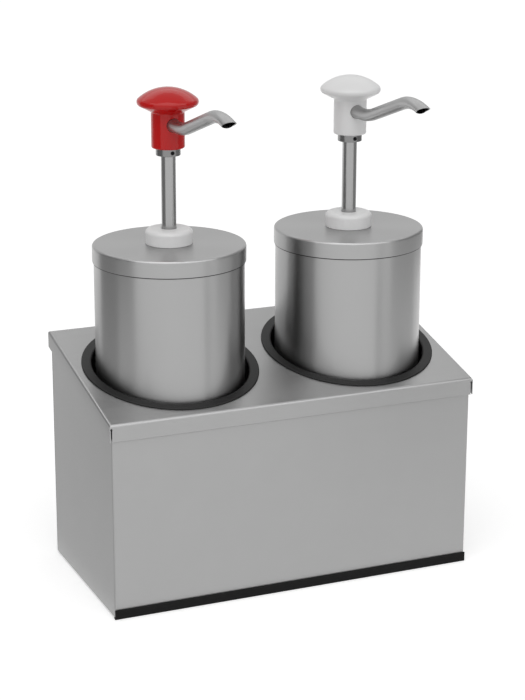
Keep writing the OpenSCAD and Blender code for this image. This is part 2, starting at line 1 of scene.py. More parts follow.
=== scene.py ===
# %% [markdown]
# A countertop station with two hand pumps
#
# The object is a folded stainless steel stand. Two drawn steel pots stand in it, and each has a lid with a
# push-down pump: a moulded knob, a bright steel plunger tube and a gooseneck spout. The working parts come
# from a packed mechanical model, which stays where it is. This script gives every part its real finish, and
# remakes the pieces whose curves show, because a mechanical model's round faces are cut into flat strips.

# %% Load the mechanical model
import math

import bmesh
import bpy
from mathutils import Matrix, Vector


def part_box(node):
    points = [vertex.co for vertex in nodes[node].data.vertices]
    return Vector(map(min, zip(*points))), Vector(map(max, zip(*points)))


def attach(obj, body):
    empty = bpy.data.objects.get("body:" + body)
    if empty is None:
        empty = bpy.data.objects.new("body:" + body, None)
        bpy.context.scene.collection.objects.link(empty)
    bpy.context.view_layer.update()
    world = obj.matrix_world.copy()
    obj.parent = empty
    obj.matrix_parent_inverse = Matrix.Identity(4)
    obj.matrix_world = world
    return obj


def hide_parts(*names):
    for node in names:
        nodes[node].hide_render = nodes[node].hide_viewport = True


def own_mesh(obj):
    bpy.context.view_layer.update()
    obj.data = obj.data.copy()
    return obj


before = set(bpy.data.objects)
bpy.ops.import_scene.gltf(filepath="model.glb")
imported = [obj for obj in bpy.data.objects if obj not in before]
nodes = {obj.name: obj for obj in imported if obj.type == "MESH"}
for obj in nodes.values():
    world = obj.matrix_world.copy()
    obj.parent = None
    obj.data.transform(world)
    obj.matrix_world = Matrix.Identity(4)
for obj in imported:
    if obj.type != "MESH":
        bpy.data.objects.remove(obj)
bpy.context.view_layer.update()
MM = 0.001
SIDES = ("left", "right")


# %% [markdown]
# The camera first
#
# A long lens flattens the object, so the camera's place matters more than its zoom. It stands a little over
# two metres away, to the left of the front and looking down by about 17 degrees, and leans by a fraction of a
# degree. Its lens is given for a 36 mm sensor on the picture's long side. The direction back from the object
# to the camera comes first, and the picture's right and up follow from it.

# %% Camera
SHOT_YAW = math.radians(23.169)
SHOT_PITCH = math.radians(16.876)
SHOT_ROLL = math.radians(0.176)
AIM = Vector((0.00273, 0.095, 0.23197))
SHOT_DISTANCE = 2.0926
SENSOR = 36
LENS = 102.87
FARTHEST = 100

back = Vector((-math.sin(SHOT_YAW) * math.cos(SHOT_PITCH),
               -math.cos(SHOT_YAW) * math.cos(SHOT_PITCH),
               math.sin(SHOT_PITCH)))
right = Vector((math.cos(SHOT_YAW), -math.sin(SHOT_YAW), 0))
up = back.cross(right)
rolled_right = right * math.cos(SHOT_ROLL) + up * math.sin(SHOT_ROLL)
rolled_up = up * math.cos(SHOT_ROLL) - right * math.sin(SHOT_ROLL)

lens = bpy.data.cameras.new("camera")
lens.sensor_width = SENSOR
lens.sensor_height = SENSOR
lens.lens = LENS
lens.clip_end = FARTHEST
camera = bpy.data.objects.new("camera", lens)
turn = Matrix((rolled_right, rolled_up, back)).transposed()
camera.matrix_world = Matrix.Translation(AIM + back * SHOT_DISTANCE) @ turn.to_4x4()
bpy.context.scene.collection.objects.link(camera)
bpy.context.scene.camera = camera
bpy.context.scene.view_settings.view_transform = "Standard"
print("camera at", [round(v, 3) for v in camera.matrix_world.translation])


# %% [markdown]
# Colours and nodes
#
# Colours are read the way a designer writes them, as sRGB hex. Blender's shaders work in linear light, so
# one function turns them. A second one adds a node to a material, with its settings and its links, which
# keeps each material below down to the few lines that say what it is.

# %% Two helpers for materials
def hex_colour(text):
    """Turns an sRGB colour such as #808080 into linear light, with an alpha of 1."""
    values = [int(text[i:i + 2], 16) / 255 for i in (1, 3, 5)]
    return [v / 12.92 if v <= 0.04045 else ((v + 0.055) / 1.055) ** 2.4 for v in values] + [1]


def add(tree, kind, values=None, links=None, **settings):
    """Adds a node with its settings, its values by socket and its links by socket."""
    node = tree.nodes.new(kind)
    for key, value in settings.items():
        setattr(node, key, value)
    for socket, value in (values or {}).items():
        node.inputs[socket].default_value = value
    for socket, source in (links or {}).items():
        tree.links.new(source, node.inputs[socket])
    return node


def new_material(name):
    """A material with an empty node tree."""
    material = bpy.data.materials.new(name)
    material.use_nodes = True
    material.node_tree.nodes.clear()
    return material, material.node_tree


print("mid grey", [round(v, 3) for v in hex_colour("#808080")])


# %% [markdown]
# The studio
#
# Metal shows what stands round it, so the room is part of its look. The floor and the room are white. A
# wide soft sun from above gives the light a direction. The floor's own shade comes from that light, and a
# little glow that only the camera and mirrors see keeps it as white as a paper backdrop. The room is white
# to the camera, a little darker in mirrors, and gives only as much light as leaves the colours as written.
# A picture of a real studio could light the scene too, but each of these values can be set by itself.

# %% Floor
FLOOR_SIZE = 40
FLOOR_COLOUR = "#F4F4F4"
FLOOR_LIFT = 0.42
WHITE = (1, 1, 1, 1)

floor_material, tree = new_material("matt_white_floor")
path = add(tree, "ShaderNodeLightPath")
matt = add(tree, "ShaderNodeBsdfDiffuse", {"Color": hex_colour(FLOOR_COLOUR)})
lift = add(tree, "ShaderNodeEmission", {"Color": WHITE, "Strength": FLOOR_LIFT})
seen = add(tree, "ShaderNodeMath", operation="MAXIMUM",
           links={0: path.outputs["Is Camera Ray"], 1: path.outputs["Is Glossy Ray"]})
both = add(tree, "ShaderNodeAddShader", links={0: matt.outputs[0], 1: lift.outputs[0]})
mixed = add(tree, "ShaderNodeMixShader",
            links={0: seen.outputs[0], 1: matt.outputs[0], 2: both.outputs[0]})
add(tree, "ShaderNodeOutputMaterial", links={"Surface": mixed.outputs[0]})

bpy.ops.mesh.primitive_plane_add(size=FLOOR_SIZE, location=(0, 0, 0))
floor = bpy.context.object
floor.name = "floor"
floor.data.materials.append(floor_material)
print("floor", FLOOR_SIZE, "m wide")

# %% Room and sun
ROOM_LIGHT = 0.43
ROOM_MIRRORED = 0.80
SUN_LIGHT = 1.05
SUN_WIDTH = math.radians(60)
SUN_TILT = (math.radians(28), math.radians(-14), 0)

room = bpy.data.worlds.new("white_room")
bpy.context.scene.world = room
room.use_nodes = True
tree = room.node_tree
tree.nodes.clear()
path = add(tree, "ShaderNodeLightPath")
seen = add(tree, "ShaderNodeMath", operation="MAXIMUM",
           links={0: path.outputs["Is Camera Ray"], 1: path.outputs["Is Transmission Ray"]})
mirrored = add(tree, "ShaderNodeMapRange", {"To Min": ROOM_LIGHT, "To Max": ROOM_MIRRORED},
               {"Value": path.outputs["Is Glossy Ray"]})
strength = add(tree, "ShaderNodeMapRange", {"To Max": 1.0},
               {"Value": seen.outputs[0], "To Min": mirrored.outputs[0]})
walls = add(tree, "ShaderNodeBackground", {"Color": WHITE}, {"Strength": strength.outputs[0]})
add(tree, "ShaderNodeOutputWorld", links={"Surface": walls.outputs[0]})

lamp = bpy.data.lights.new("soft_sun", "SUN")
lamp.energy = SUN_LIGHT
lamp.angle = SUN_WIDTH
sun = bpy.data.objects.new("soft_sun", lamp)
sun.rotation_euler = SUN_TILT
bpy.context.scene.collection.objects.link(sun)
print("room", ROOM_LIGHT, "as light and", ROOM_MIRRORED, "in mirrors, sun", SUN_LIGHT)


# %% [markdown]
# Things that only mirrors see
#
# A photographer sets grey cards and long lights round shiny metal, and hides them from the lens. Blender can
# do the same: an object may be visible to reflections alone. The low screens draw the long bands on the pots.
# The high ones do it for the plunger tubes, which mirror a higher part of the room. The long light stands
# high over the front and draws the bright line along every rounded fold and rim. The light behind stands
# where the sloping plate looks, and lifts its tone. A grey card on the floor shades the left side.

# %% Surfaces that only reflections see
BEND_STEPS = 12


def mirror_only(name, verts, faces, grey):
    """A plainly glowing surface that reflections see, and nothing else."""
    mesh = bpy.data.meshes.new(name)
    mesh.from_pydata(verts, [], faces)
    obj = bpy.data.objects.new(name, mesh)
    bpy.context.scene.collection.objects.link(obj)
    material, tree = new_material(name)
    glow = add(tree, "ShaderNodeEmission", {"Color": (grey, grey, grey, 1), "Strength": 1.0})
    add(tree, "ShaderNodeOutputMaterial", links={"Surface": glow.outputs[0]})
    mesh.materials.append(material)
    obj.visible_camera = False
    obj.visible_diffuse = False
    obj.visible_shadow = False


def screen(name, first, last, low, high, grey, radius):
    """A bent screen that stands round the object, between two bearings from the camera in degrees."""
    camera_bearing = math.atan2(back.y, back.x)
    verts, faces = [], []
    for i in range(BEND_STEPS + 1):
        a = camera_bearing + math.radians(first + (last - first) * i / BEND_STEPS)
        x, y = radius * math.cos(a), radius * math.sin(a)
        verts += [(x, y, low - MM), (x, y, high)]
    for i in range(BEND_STEPS):
        faces.append((2 * i, 2 * i + 2, 2 * i + 3, 2 * i + 1))
    mirror_only(name, verts, faces, grey)


print("the camera looks from bearing", round(math.degrees(math.atan2(back.y, back.x)), 1))

# %% Screens, two lights and a card
SCREEN_SPLIT = 0.18
SCREEN_TOP = 0.8
SCREEN_RADIUS = 0.75
# Name, first and last bearing from the camera in degrees, lowest and highest point in metres, grey
SCREENS = (
    ("screen_right", 51, 62, 0, SCREEN_SPLIT, 0.42),
    ("screen_far_right", 62, 128, 0, SCREEN_SPLIT, 0.80),
    ("screen_left", -84, -56, 0, SCREEN_SPLIT, 0.78),
    ("screen_far_left", -118, -84, 0, SCREEN_SPLIT, 0.45),
    ("screen_behind_left", -165, -118, 0, SCREEN_SPLIT, 0.80),
    ("high_screen_right", 76, 150, SCREEN_SPLIT, SCREEN_TOP, 0.40),
    ("high_screen_left", -116, -58, SCREEN_SPLIT, SCREEN_TOP, 0.30),
)
LIGHT_RADIUS = 1.6
LIGHTS = (
    ("long_light", -80, 80, 1.0, 2.6, 2.0),
    ("back_light", 130, 230, 1.4, 2.6, 1.3),
)
CARD_LEFT = [(-1.2, -0.2), (-0.21, -0.2), (-0.21, 1.2), (-1.2, 1.2)]
CARD_GREY = 0.78
CARD_LIFT = MM / 2

for row in SCREENS:
    screen(*row, SCREEN_RADIUS)
for row in LIGHTS:
    screen(*row, LIGHT_RADIUS)
mirror_only("card_left", [(x, y, CARD_LIFT) for x, y in CARD_LEFT], [(0, 1, 2, 3)], CARD_GREY)
print(len(SCREENS), "screens and", len(LIGHTS), "lights round the object")


# %% [markdown]
# Stainless steel, finish by finish
#
# The stand is 18/10 sheet with a brushed finish: rolled smooth, then ground with a belt, which leaves fine
# straight scratches. They blur what the sheet mirrors, more across them than along them. The pots and lids
# are drawn from the same sheet and polished while they turn, so their scratches run round them, and a lamp
# becomes an upright streak on a pot and a fan on a lid. The plunger tubes are polished bright. The spouts are
# bent after they are drawn, and are finished satin. The clamp rings are plainly machined. The lower edge of a
# lid is coloured dark, a painted shade for the shadow in the gap under the skirt, and the inside of a pot is
# painted paler, a painted light. A painted picture of scratches could serve too, but noise needs no file.
#
# Blender's shader takes the direction of the scratches as a tangent, which runs round the upright axis on the
# turned pieces and left to right on the sheet. A quarter turn then lays the blur across the scratches. The
# sheet's direction leans a hair off X, so that it still counts on the side walls, which face along X.
# Real scratches are finer than 0.1 mm. They are drawn here at 0.7 mm, because finer ones would not show.

# %% Streaks
SCRATCH = 0.7 * MM
SCRATCH_LENGTH = 60 * MM
CLOUD = 35 * MM
DETAIL = 2.0
# Sockets of a mix node that mixes colours
MIX_FIRST, MIX_SECOND, MIX_RESULT = 6, 7, 2


def scratch_noise(tree, stretch):
    """Noise in streaks: stretch gives the size of a streak along X, Y and Z, in metres."""
    place = add(tree, "ShaderNodeTexCoord")
    scale = [1 / size for size in stretch]
    scaled = add(tree, "ShaderNodeMapping", {"Scale": scale}, {"Vector": place.outputs["Object"]})
    return add(tree, "ShaderNodeTexNoise", {"Scale": 1.0, "Detail": DETAIL}, {"Vector": scaled.outputs[0]})


def tinted(tree, colour, contrast, share):
    """The colour a little darker or a little lighter, as the share from another node says."""
    base = hex_colour(colour)[:3]
    dark = [c * (1 - contrast) for c in base] + [1]
    light = [min(1, c * (1 + contrast)) for c in base] + [1]
    mix = add(tree, "ShaderNodeMix", {MIX_FIRST: dark, MIX_SECOND: light}, {0: share}, data_type="RGBA")
    return mix.outputs[MIX_RESULT]


print("scratches of", round(SCRATCH / MM, 2), "by", round(SCRATCH_LENGTH / MM, 2), "mm")

# %% A metal
STREAK_SHARE = 0.65
NOISE_LOW, NOISE_HIGH = 0.3, 0.7
SCRATCH_DEPTH = 0.05 * MM
QUARTER_TURN = 0.25
LEAN = 0.02


def steel(name, colour, roughness, stretch, anisotropy=0.0, grain="round", contrast=0.05, bump=0.04,
          uneven=0.12):
    """Metal with streaks that shift its colour, its roughness and its slope a little."""
    material, tree = new_material(name)
    streak = scratch_noise(tree, stretch)
    cloud = scratch_noise(tree, (CLOUD, CLOUD, CLOUD))
    blend = add(tree, "ShaderNodeMath", {1: STREAK_SHARE}, {0: streak.outputs["Fac"]},
                operation="MULTIPLY")
    blend = add(tree, "ShaderNodeMath", {1: 1 - STREAK_SHARE},
                {0: cloud.outputs["Fac"], 2: blend.outputs[0]}, operation="MULTIPLY_ADD")
    tint = tinted(tree, colour, contrast, blend.outputs[0])
    rough = add(tree, "ShaderNodeMapRange",
                {"From Min": NOISE_LOW, "From Max": NOISE_HIGH,
                 "To Min": roughness * (1 - uneven), "To Max": roughness * (1 + uneven)},
                {"Value": streak.outputs["Fac"]})
    slope = add(tree, "ShaderNodeBump", {"Strength": bump, "Distance": SCRATCH_DEPTH},
                {"Height": streak.outputs["Fac"]})
    surface = add(tree, "ShaderNodeBsdfPrincipled", {"Metallic": 1.0},
                  {"Base Color": tint, "Roughness": rough.outputs[0],
                   "Normal": slope.outputs[0]})
    if anisotropy:
        surface.inputs["Anisotropic"].default_value = anisotropy
        surface.inputs["Anisotropic Rotation"].default_value = QUARTER_TURN
        if grain == "round":
            along = add(tree, "ShaderNodeTangent", direction_type="RADIAL", axis="Z")
        else:
            along = add(tree, "ShaderNodeCombineXYZ", {"X": 1.0, "Y": LEAN})
        tree.links.new(along.outputs[0], surface.inputs["Tangent"])
    add(tree, "ShaderNodeOutputMaterial", links={"Surface": surface.outputs[0]})
    return material


print("a quarter turn is", QUARTER_TURN, "and the sheet's direction leans", LEAN)

# %% The finishes of steel
STEEL = "#A6A6A6"
TUBE_STEEL = "#A4A4A4"
FINE = 2 * MM
WIDE = CLOUD * 4

brushed_sheet = steel("brushed_stainless_sheet", STEEL, 0.40, (SCRATCH_LENGTH, SCRATCH, SCRATCH),
                      0.6, "straight")
turned_pot = steel("turned_stainless_pot", STEEL, 0.31, (WIDE, WIDE, SCRATCH), 0.74,
                   contrast=0.015, bump=0.0, uneven=0.05)
turned_lid = steel("turned_stainless_lid", STEEL, 0.34, (SCRATCH, SCRATCH, SCRATCH), 0.6, contrast=0.03)
# Painted light: a paler copy of the steel for the inside of the pots, which lifts their shade.
painted_light_pot_inside = steel("satin_stainless_painted_light_inside", "#DADADA", 0.38, (CLOUD, CLOUD, SCRATCH), contrast=0.03)
bright_tube = steel("polished_stainless_tube", TUBE_STEEL, 0.19, (FINE, FINE, SCRATCH_LENGTH),
                    contrast=0.03)
satin_spout = steel("satin_stainless_spout", TUBE_STEEL, 0.33, (FINE, SCRATCH_LENGTH, FINE), contrast=0.03)
spring_wire = steel("spring_steel_wire", "#9C9C9C", 0.22, (CLOUD, CLOUD, SCRATCH))
ring_steel = steel("machined_stainless_ring", "#878787", 0.24, (SCRATCH, SCRATCH, CLOUD), contrast=0.06)
# Painted shade: a dark band on each lid's lower edge, for the shadow in the gap under the skirt.
painted_shade_hem = steel("painted_shade_lid_hem", "#4A4A4A", 0.5, (FINE, FINE, SCRATCH), contrast=0.15)
black_oxide = steel("black_oxide_screw_steel", "#2E2E30", 0.38, (SCRATCH, SCRATCH, SCRATCH))
print("steel:", brushed_sheet.name, turned_pot.name, turned_lid.name, bright_tube.name)


# %% [markdown]
# Rubber and plastics
#
# The edgings are extruded black EPDM rubber, which has a dull skin with a fine grain. The one that the stand
# rests on is rubbed by the counter, so it mirrors less and looks blacker. The red knob is injection moulded,
# dyed through and glossy, so it mirrors the room sharply over a deep colour. The white knob and collars are
# acetal: satin, a little translucent, never quite white. The barrel and the suction tube are natural
# polypropylene, milky rather than clear. A mould's own grain is too fine to show, so it is drawn at 0.8 mm.

# %% A moulded material
GRIT = 0.8 * MM
GRIT_DEPTH = 0.1 * MM
ROUGH_SHARE = 0.1
GLOW_DEPTH = 3 * MM


def moulded(name, colour, roughness, ior, contrast=0.04, bump=0.05, gloss=0.5, soft=0.0):
    """Plastic or rubber: a mottled colour, a grained skin and, if wanted, less gloss or light inside."""
    material, tree = new_material(name)
    fine = scratch_noise(tree, (GRIT, GRIT, GRIT))
    wide = scratch_noise(tree, (CLOUD, CLOUD, CLOUD))
    tint = tinted(tree, colour, contrast, wide.outputs["Fac"])
    rough = add(tree, "ShaderNodeMapRange",
                {"To Min": roughness * (1 - ROUGH_SHARE), "To Max": roughness * (1 + ROUGH_SHARE)},
                {"Value": fine.outputs["Fac"]})
    skin = add(tree, "ShaderNodeBump", {"Strength": bump, "Distance": GRIT_DEPTH},
               {"Height": fine.outputs["Fac"]})
    surface = add(tree, "ShaderNodeBsdfPrincipled",
                  {"IOR": ior, "Specular IOR Level": gloss, "Subsurface Weight": soft,
                   "Subsurface Radius": (GLOW_DEPTH, GLOW_DEPTH, GLOW_DEPTH), "Subsurface Scale": 1.0},
                  {"Base Color": tint, "Roughness": rough.outputs[0],
                   "Normal": skin.outputs[0]})
    add(tree, "ShaderNodeOutputMaterial", links={"Surface": surface.outputs[0]})
    return material


print("grit", round(GRIT / MM, 2), "mm wide and", round(GRIT_DEPTH / MM, 2), "mm deep")

# %% Rubber and plastics
epdm_rubber = moulded("extruded_epdm_rubber", "#181818", 0.5, 1.5, bump=0.2, gloss=0.31)
rubbed_rubber = moulded("rubbed_epdm_rubber", "#161616", 0.6, 1.5, bump=0.2, gloss=0.14)
nitrile_seal = moulded("nitrile_rubber_seal", "#161616", 0.5, 1.5, gloss=0.3)
silicone = moulded("silicone_gasket", "#E0E0DC", 0.5, 1.41)
red_plastic = moulded("glossy_red_moulding", "#C80A0A", 0.09, 1.5, contrast=0.02, bump=0.01,
                      gloss=0.35)
white_acetal = moulded("satin_white_acetal", "#EEEEEE", 0.38, 1.48, contrast=0.02, bump=0.03,
                       soft=0.05)
milky_plastic = moulded("natural_polypropylene", "#D6D9D8", 0.42, 1.49, soft=0.1)
print("plastics:", red_plastic.name, white_acetal.name, milky_plastic.name)


# %% [markdown]
# Turned shapes
#
# Pots, lids, collars, rings and knobs are all round, so each is an outline spun about its own axis. An
# outline is a list of corners, each with the radius that rounds it, and one function turns every corner
# into a smooth arc. That is how the pieces are drawn on paper, and it keeps the sizes readable. Blender's own
# cylinders would need a bevel, and one bevel rounds all edges of a piece alike. Sizes that the mechanical
# model already has are read from its boxes. Each piece is then shaded smooth with true edges, gets its
# finish, rides on its body and takes the place of its node.

# %% Outlines with rounded corners
ARC_STEPS = 7


def rounded(corners):
    """Turns corners (across, up, radius) of a closed outline into points, with an arc at each radius."""
    points = []
    count = len(corners)
    for i, (x, y, radius) in enumerate(corners):
        here = Vector((x, y))
        if radius <= 0:
            points.append(here)
            continue
        before = (Vector(corners[i - 1][:2]) - here).normalized()
        after = (Vector(corners[(i + 1) % count][:2]) - here).normalized()
        half = before.angle(after) / 2
        reach = radius / math.tan(half)
        centre = here + (before + after).normalized() * (radius / math.sin(half))
        start = here + before * reach - centre
        end = here + after * reach - centre
        sweep = start.angle_signed(end)
        for k in range(ARC_STEPS + 1):
            a = -sweep * k / ARC_STEPS
            c, s = math.cos(a), math.sin(a)
            points.append(centre + Vector((start.x * c - start.y * s, start.x * s + start.y * c)))
    return points


SQUARE = [(0, 0, 1), (9, 0, 1), (9, 9, 1), (0, 9, 1)]
print("a square with round corners has", len(rounded(SQUARE)), "points")

# %% Spinning an outline
ON_AXIS = 1e-6
ROUND_SIDES = 144


def put(name, bm):
    """Makes an object of a finished bmesh, with all faces turned outward."""
    bmesh.ops.recalc_face_normals(bm, faces=bm.faces)
    mesh = bpy.data.meshes.new(name)
    bm.to_mesh(mesh)
    bm.free()
    obj = bpy.data.objects.new(name, mesh)
    bpy.context.scene.collection.objects.link(obj)
    return obj


def spun(name, corners, centre=(0, 0), sides=ROUND_SIDES):
    """Spins a closed outline of millimetre corners about the upright axis through centre, in metres."""
    bm = bmesh.new()
    rings = []
    for point in rounded(corners):
        if point.x < ON_AXIS:
            rings.append([bm.verts.new((centre[0], centre[1], point.y * MM))])
            continue
        ring = []
        for j in range(sides):
            a = 2 * math.pi * j / sides
            ring.append(bm.verts.new((centre[0] + point.x * MM * math.cos(a),
                                      centre[1] + point.x * MM * math.sin(a), point.y * MM)))
        rings.append(ring)
    for i, ring in enumerate(rings):
        other = rings[(i + 1) % len(rings)]
        if len(ring) == 1 and len(other) == 1:
            continue
        for j in range(sides):
            k = (j + 1) % sides
            around = [ring[j % len(ring)], ring[k % len(ring)],
                      other[k % len(other)], other[j % len(other)]]
            bm.faces.new(list(dict.fromkeys(around)))
    return put(name, bm)


print("a turned piece has", ROUND_SIDES, "sides unless it needs fewer or more")

# %% Normals, finish, body and node
SHARP = 32


def apply_modifiers(obj):
    """Gives the object the mesh that its modifiers make, and removes them."""
    bpy.context.view_layer.update()
    graph = bpy.context.evaluated_depsgraph_get()
    mesh = bpy.data.meshes.new_from_object(obj.evaluated_get(graph))
    obj.modifiers.clear()
    obj.data = mesh


def dress(obj, material, body, node, sharp=SHARP):
    """Smooth shading with true edges and flats, then the finish, the body and the node it stands for."""
    obj.data.shade_smooth()
    obj.data.set_sharp_from_angle(angle=math.radians(sharp))
    weigh = obj.modifiers.new("weigh", "WEIGHTED_NORMAL")
    weigh.keep_sharp = True
    apply_modifiers(obj)
    obj.data.materials.clear()
    obj.data.materials.append(material)
    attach(obj, body)
    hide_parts(node)


def span(node):
    """Lowest and highest corners of a node, in millimetres."""
    low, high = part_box(node)
    return low / MM, high / MM


def axis_of(node):
    """Where a node's upright axis stands, in metres."""
    low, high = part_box(node)
    return (low.x + high.x) / 2, (low.y + high.y) / 2


print("smooth faces meet below", SHARP, "degrees")


# %% [markdown]
# The top plate
#
# The plate is one sheet with its four edges folded down. What the eye catches is the bright line along each
# fold, the slit at each corner where two skirts meet, and the small round hole at the top of the slit that
# stops the sheet from tearing. A box with its underside removed would do, but the slope and the turned-in
# lower edge are easier to place corner by corner. So a skin of the top and the four skirts is made first. Its
# top edges are rounded, it is thickened to one millimetre of sheet, and then it is cut.

# %% Where the plate lies
FRONT_TOP = 206.0

plate_low, plate_high = span("top_plate")
pot_axis = {side: axis_of(f"{side}_container") for side in SIDES}
back_top = plate_high.z
skirt = FRONT_TOP - plate_low.z
slope = math.atan2(back_top - FRONT_TOP, plate_high.y - plate_low.y)
middle = Vector((0, pot_axis["left"][1], (FRONT_TOP + back_top) / 2 * MM))
tilt = Matrix.Translation(middle) @ Matrix.Rotation(slope, 4, "X")
print("the skirt is", round(skirt, 2), "mm high")
print("the plate slopes", round(math.degrees(slope), 2), "degrees")

# %% The folded sheet
SHEET = 1.0
FOLD = 2.8
FOLD_STEPS = 6
EDGE_TURN = 0.4
CORNERS = [(0, 0), (1, 0), (1, 1), (0, 1)]


def folded_sheet(name):
    """A sloping top and four skirts, whose lower edge turns in a little. It has no underside."""
    bm = bmesh.new()
    corner = {}
    for sx, sy in CORNERS:
        for level, (inset, drop) in enumerate(((0, 0), (0, skirt - EDGE_TURN), (EDGE_TURN, skirt))):
            x = (plate_low.x + inset, plate_high.x - inset)[sx]
            y = (plate_low.y + inset, plate_high.y - inset)[sy]
            z = (FRONT_TOP, back_top)[sy] - drop
            corner[sx, sy, level] = bm.verts.new((x * MM, y * MM, z * MM))
    top = bm.faces.new([corner[a + (0,)] for a in CORNERS])
    for a, b in zip(CORNERS, CORNERS[1:] + CORNERS[:1]):
        for level in (0, 1):
            bm.faces.new([corner[a + (level + 1,)], corner[b + (level + 1,)], corner[b + (level,)],
                          corner[a + (level,)]])
    bmesh.ops.bevel(bm, geom=list(top.edges), offset=FOLD * MM, offset_type="OFFSET",
                    segments=FOLD_STEPS, profile=0.5, affect="EDGES", clamp_overlap=True)
    return put(name, bm)


plate = folded_sheet("folded_top_plate")
thick = plate.modifiers.new("sheet", "SOLIDIFY")
thick.thickness = SHEET * MM
thick.offset = -1
thick.use_even_offset = True
apply_modifiers(plate)
print("the sheet has", len(plate.data.polygons), "faces before it is cut")

# %% Cutting
OVERSHOOT = 2
PIN_SIDES = 48
# Lays an upright pin down, with its high end to the front
FORWARD = Matrix.Rotation(math.pi / 2, 4, "X")


def cut(obj, cutters):
    """Takes the cutters' shapes out of obj and removes the cutters."""
    for cutter in cutters:
        knife = obj.modifiers.new("cut", "BOOLEAN")
        knife.operation = "DIFFERENCE"
        knife.solver = "EXACT"
        knife.object = cutter
    apply_modifiers(obj)
    for cutter in cutters:
        bpy.data.objects.remove(cutter)


def pin(name, radius, low, high, place, sides=PIN_SIDES):
    """A plain round cutter in millimetres, moved by a matrix."""
    bm = bmesh.new()
    bmesh.ops.create_cone(bm, cap_ends=True, segments=sides, radius1=radius * MM, radius2=radius * MM,
                          depth=(high - low) * MM)
    bmesh.ops.translate(bm, verts=bm.verts, vec=(0, 0, (high + low) / 2 * MM))
    bmesh.ops.transform(bm, verts=bm.verts, matrix=place)
    return put(name, bm)


print("a cutter stands out by", OVERSHOOT, "mm where it has to pass a face")

# %% Holes and corner slits
HOLE = 83.2
HOLE_SIDES = 160
THROUGH = 20
SLIT = 1.4
SLIT_DEPTH = 4.0
RELIEF = 1.2
RELIEF_DROP = 4.6

cutters = []
for side in SIDES:
    place = tilt @ Matrix.Translation((pot_axis[side][0], 0, 0))
    cutters.append(pin("hole", HOLE, -THROUGH, THROUGH, place, sides=HOLE_SIDES))
for x, inward in ((plate_low.x, 1), (plate_high.x, -1)):
    slit_x = x + inward * (SHEET + SLIT / 2)
    for y, top in ((plate_low.y, FRONT_TOP), (plate_high.y, back_top)):
        hole_top = Matrix.Translation((slit_x * MM, y * MM, (top - RELIEF_DROP) * MM))
        cutters.append(pin("relief", RELIEF, -SLIT_DEPTH / 2, SLIT_DEPTH / 2, hole_top @ FORWARD))
        bm = bmesh.new()
        bmesh.ops.create_cube(bm, size=1)
        bmesh.ops.scale(bm, vec=(SLIT * MM, SLIT_DEPTH * MM, skirt * MM), verts=bm.verts)
        bmesh.ops.translate(bm, vec=(slit_x * MM, y * MM, (top - RELIEF_DROP - skirt / 2) * MM),
                            verts=bm.verts)
        cutters.append(put("slit", bm))
cut(plate, cutters)
dress(plate, brushed_sheet, "station", "top_plate")
print("the top plate has", len(plate.data.polygons), "faces")


# %% [markdown]
# Rubber round the holes
#
# A strip of U-shaped rubber is pushed over the edge of each hole. Seen from above it is a flat band with a
# round nose on the inside. A plain torus would be too round, and would fill the groove that grips the sheet.
# So its outline is drawn once and spun, then tilted into the sloping plate.

# %% Hole edging
RING_HALF = 2.3
RING_WIDTH = 10.5
NOSE = 2.25
LIP = 0.9
GROOVE_STOP = 0.5

for side in SIDES:
    node = f"{side}_hole_edging"
    low, high = span(node)
    outer = (high.x - low.x) / 2
    inner = outer - RING_WIDTH
    groove = inner + RING_HALF - GROOVE_STOP
    half = SHEET / 2
    outline = [(inner, -RING_HALF, NOSE), (outer, -RING_HALF, LIP), (outer, -half, LIP / 2),
               (groove, -half, 0), (groove, half, 0), (outer, half, LIP / 2), (outer, RING_HALF, LIP),
               (inner, RING_HALF, NOSE)]
    ring = spun(f"{side}_hole_edging_rubber", outline, sides=HOLE_SIDES)
    place = tilt @ Matrix.Translation((pot_axis[side][0], 0, -half * MM))
    ring.data.transform(place)
    dress(ring, epdm_rubber, "station", node)
    print(ring.name, "is", round(2 * outer, 1), "mm across")


# %% [markdown]
# Pots and lids
#
# The pot is drawn from a flat disc, so its wall runs into its bottom in one round corner. The lid is a
# shallow pressing with a softly rounded edge, which draws the bright line round its front. Its lower edge
# turns in a little and is coloured dark: a painted shade that draws the thin line of shadow below the skirt.
# A pot's inside mirrors only itself and comes out dark, so it is satin in a paler colour, which is painted
# light. Both are open shells with a real wall, because they come off and show their inside. The wall is drawn
# in the outline, not added by a modifier, so that its lip can be rounded.

# %% Pots and lids
WALL = 0.8
POT_CORNER = 6.0
POT_LIP = WALL * 0.45
# How far from the lip and the bottom the painted light inside a pot starts, in millimetres.
PAINTED_LIGHT_MARGIN = WALL * 0.6
LID_TOP = 1.0
LID_EDGE, LID_EDGE_INSIDE = 2.6, 0.7
LID_HOLE = 16.3
HEM, HEM_TURN, HEM_BEND = 1.1, 0.5, 0.3
HEM_EDGE = WALL * 0.3
HEM_SHEET = WALL * 0.7
# How high the painted shade reaches up a lid's lower edge, in millimetres.
PAINTED_SHADE_HEIGHT = HEM * 0.9

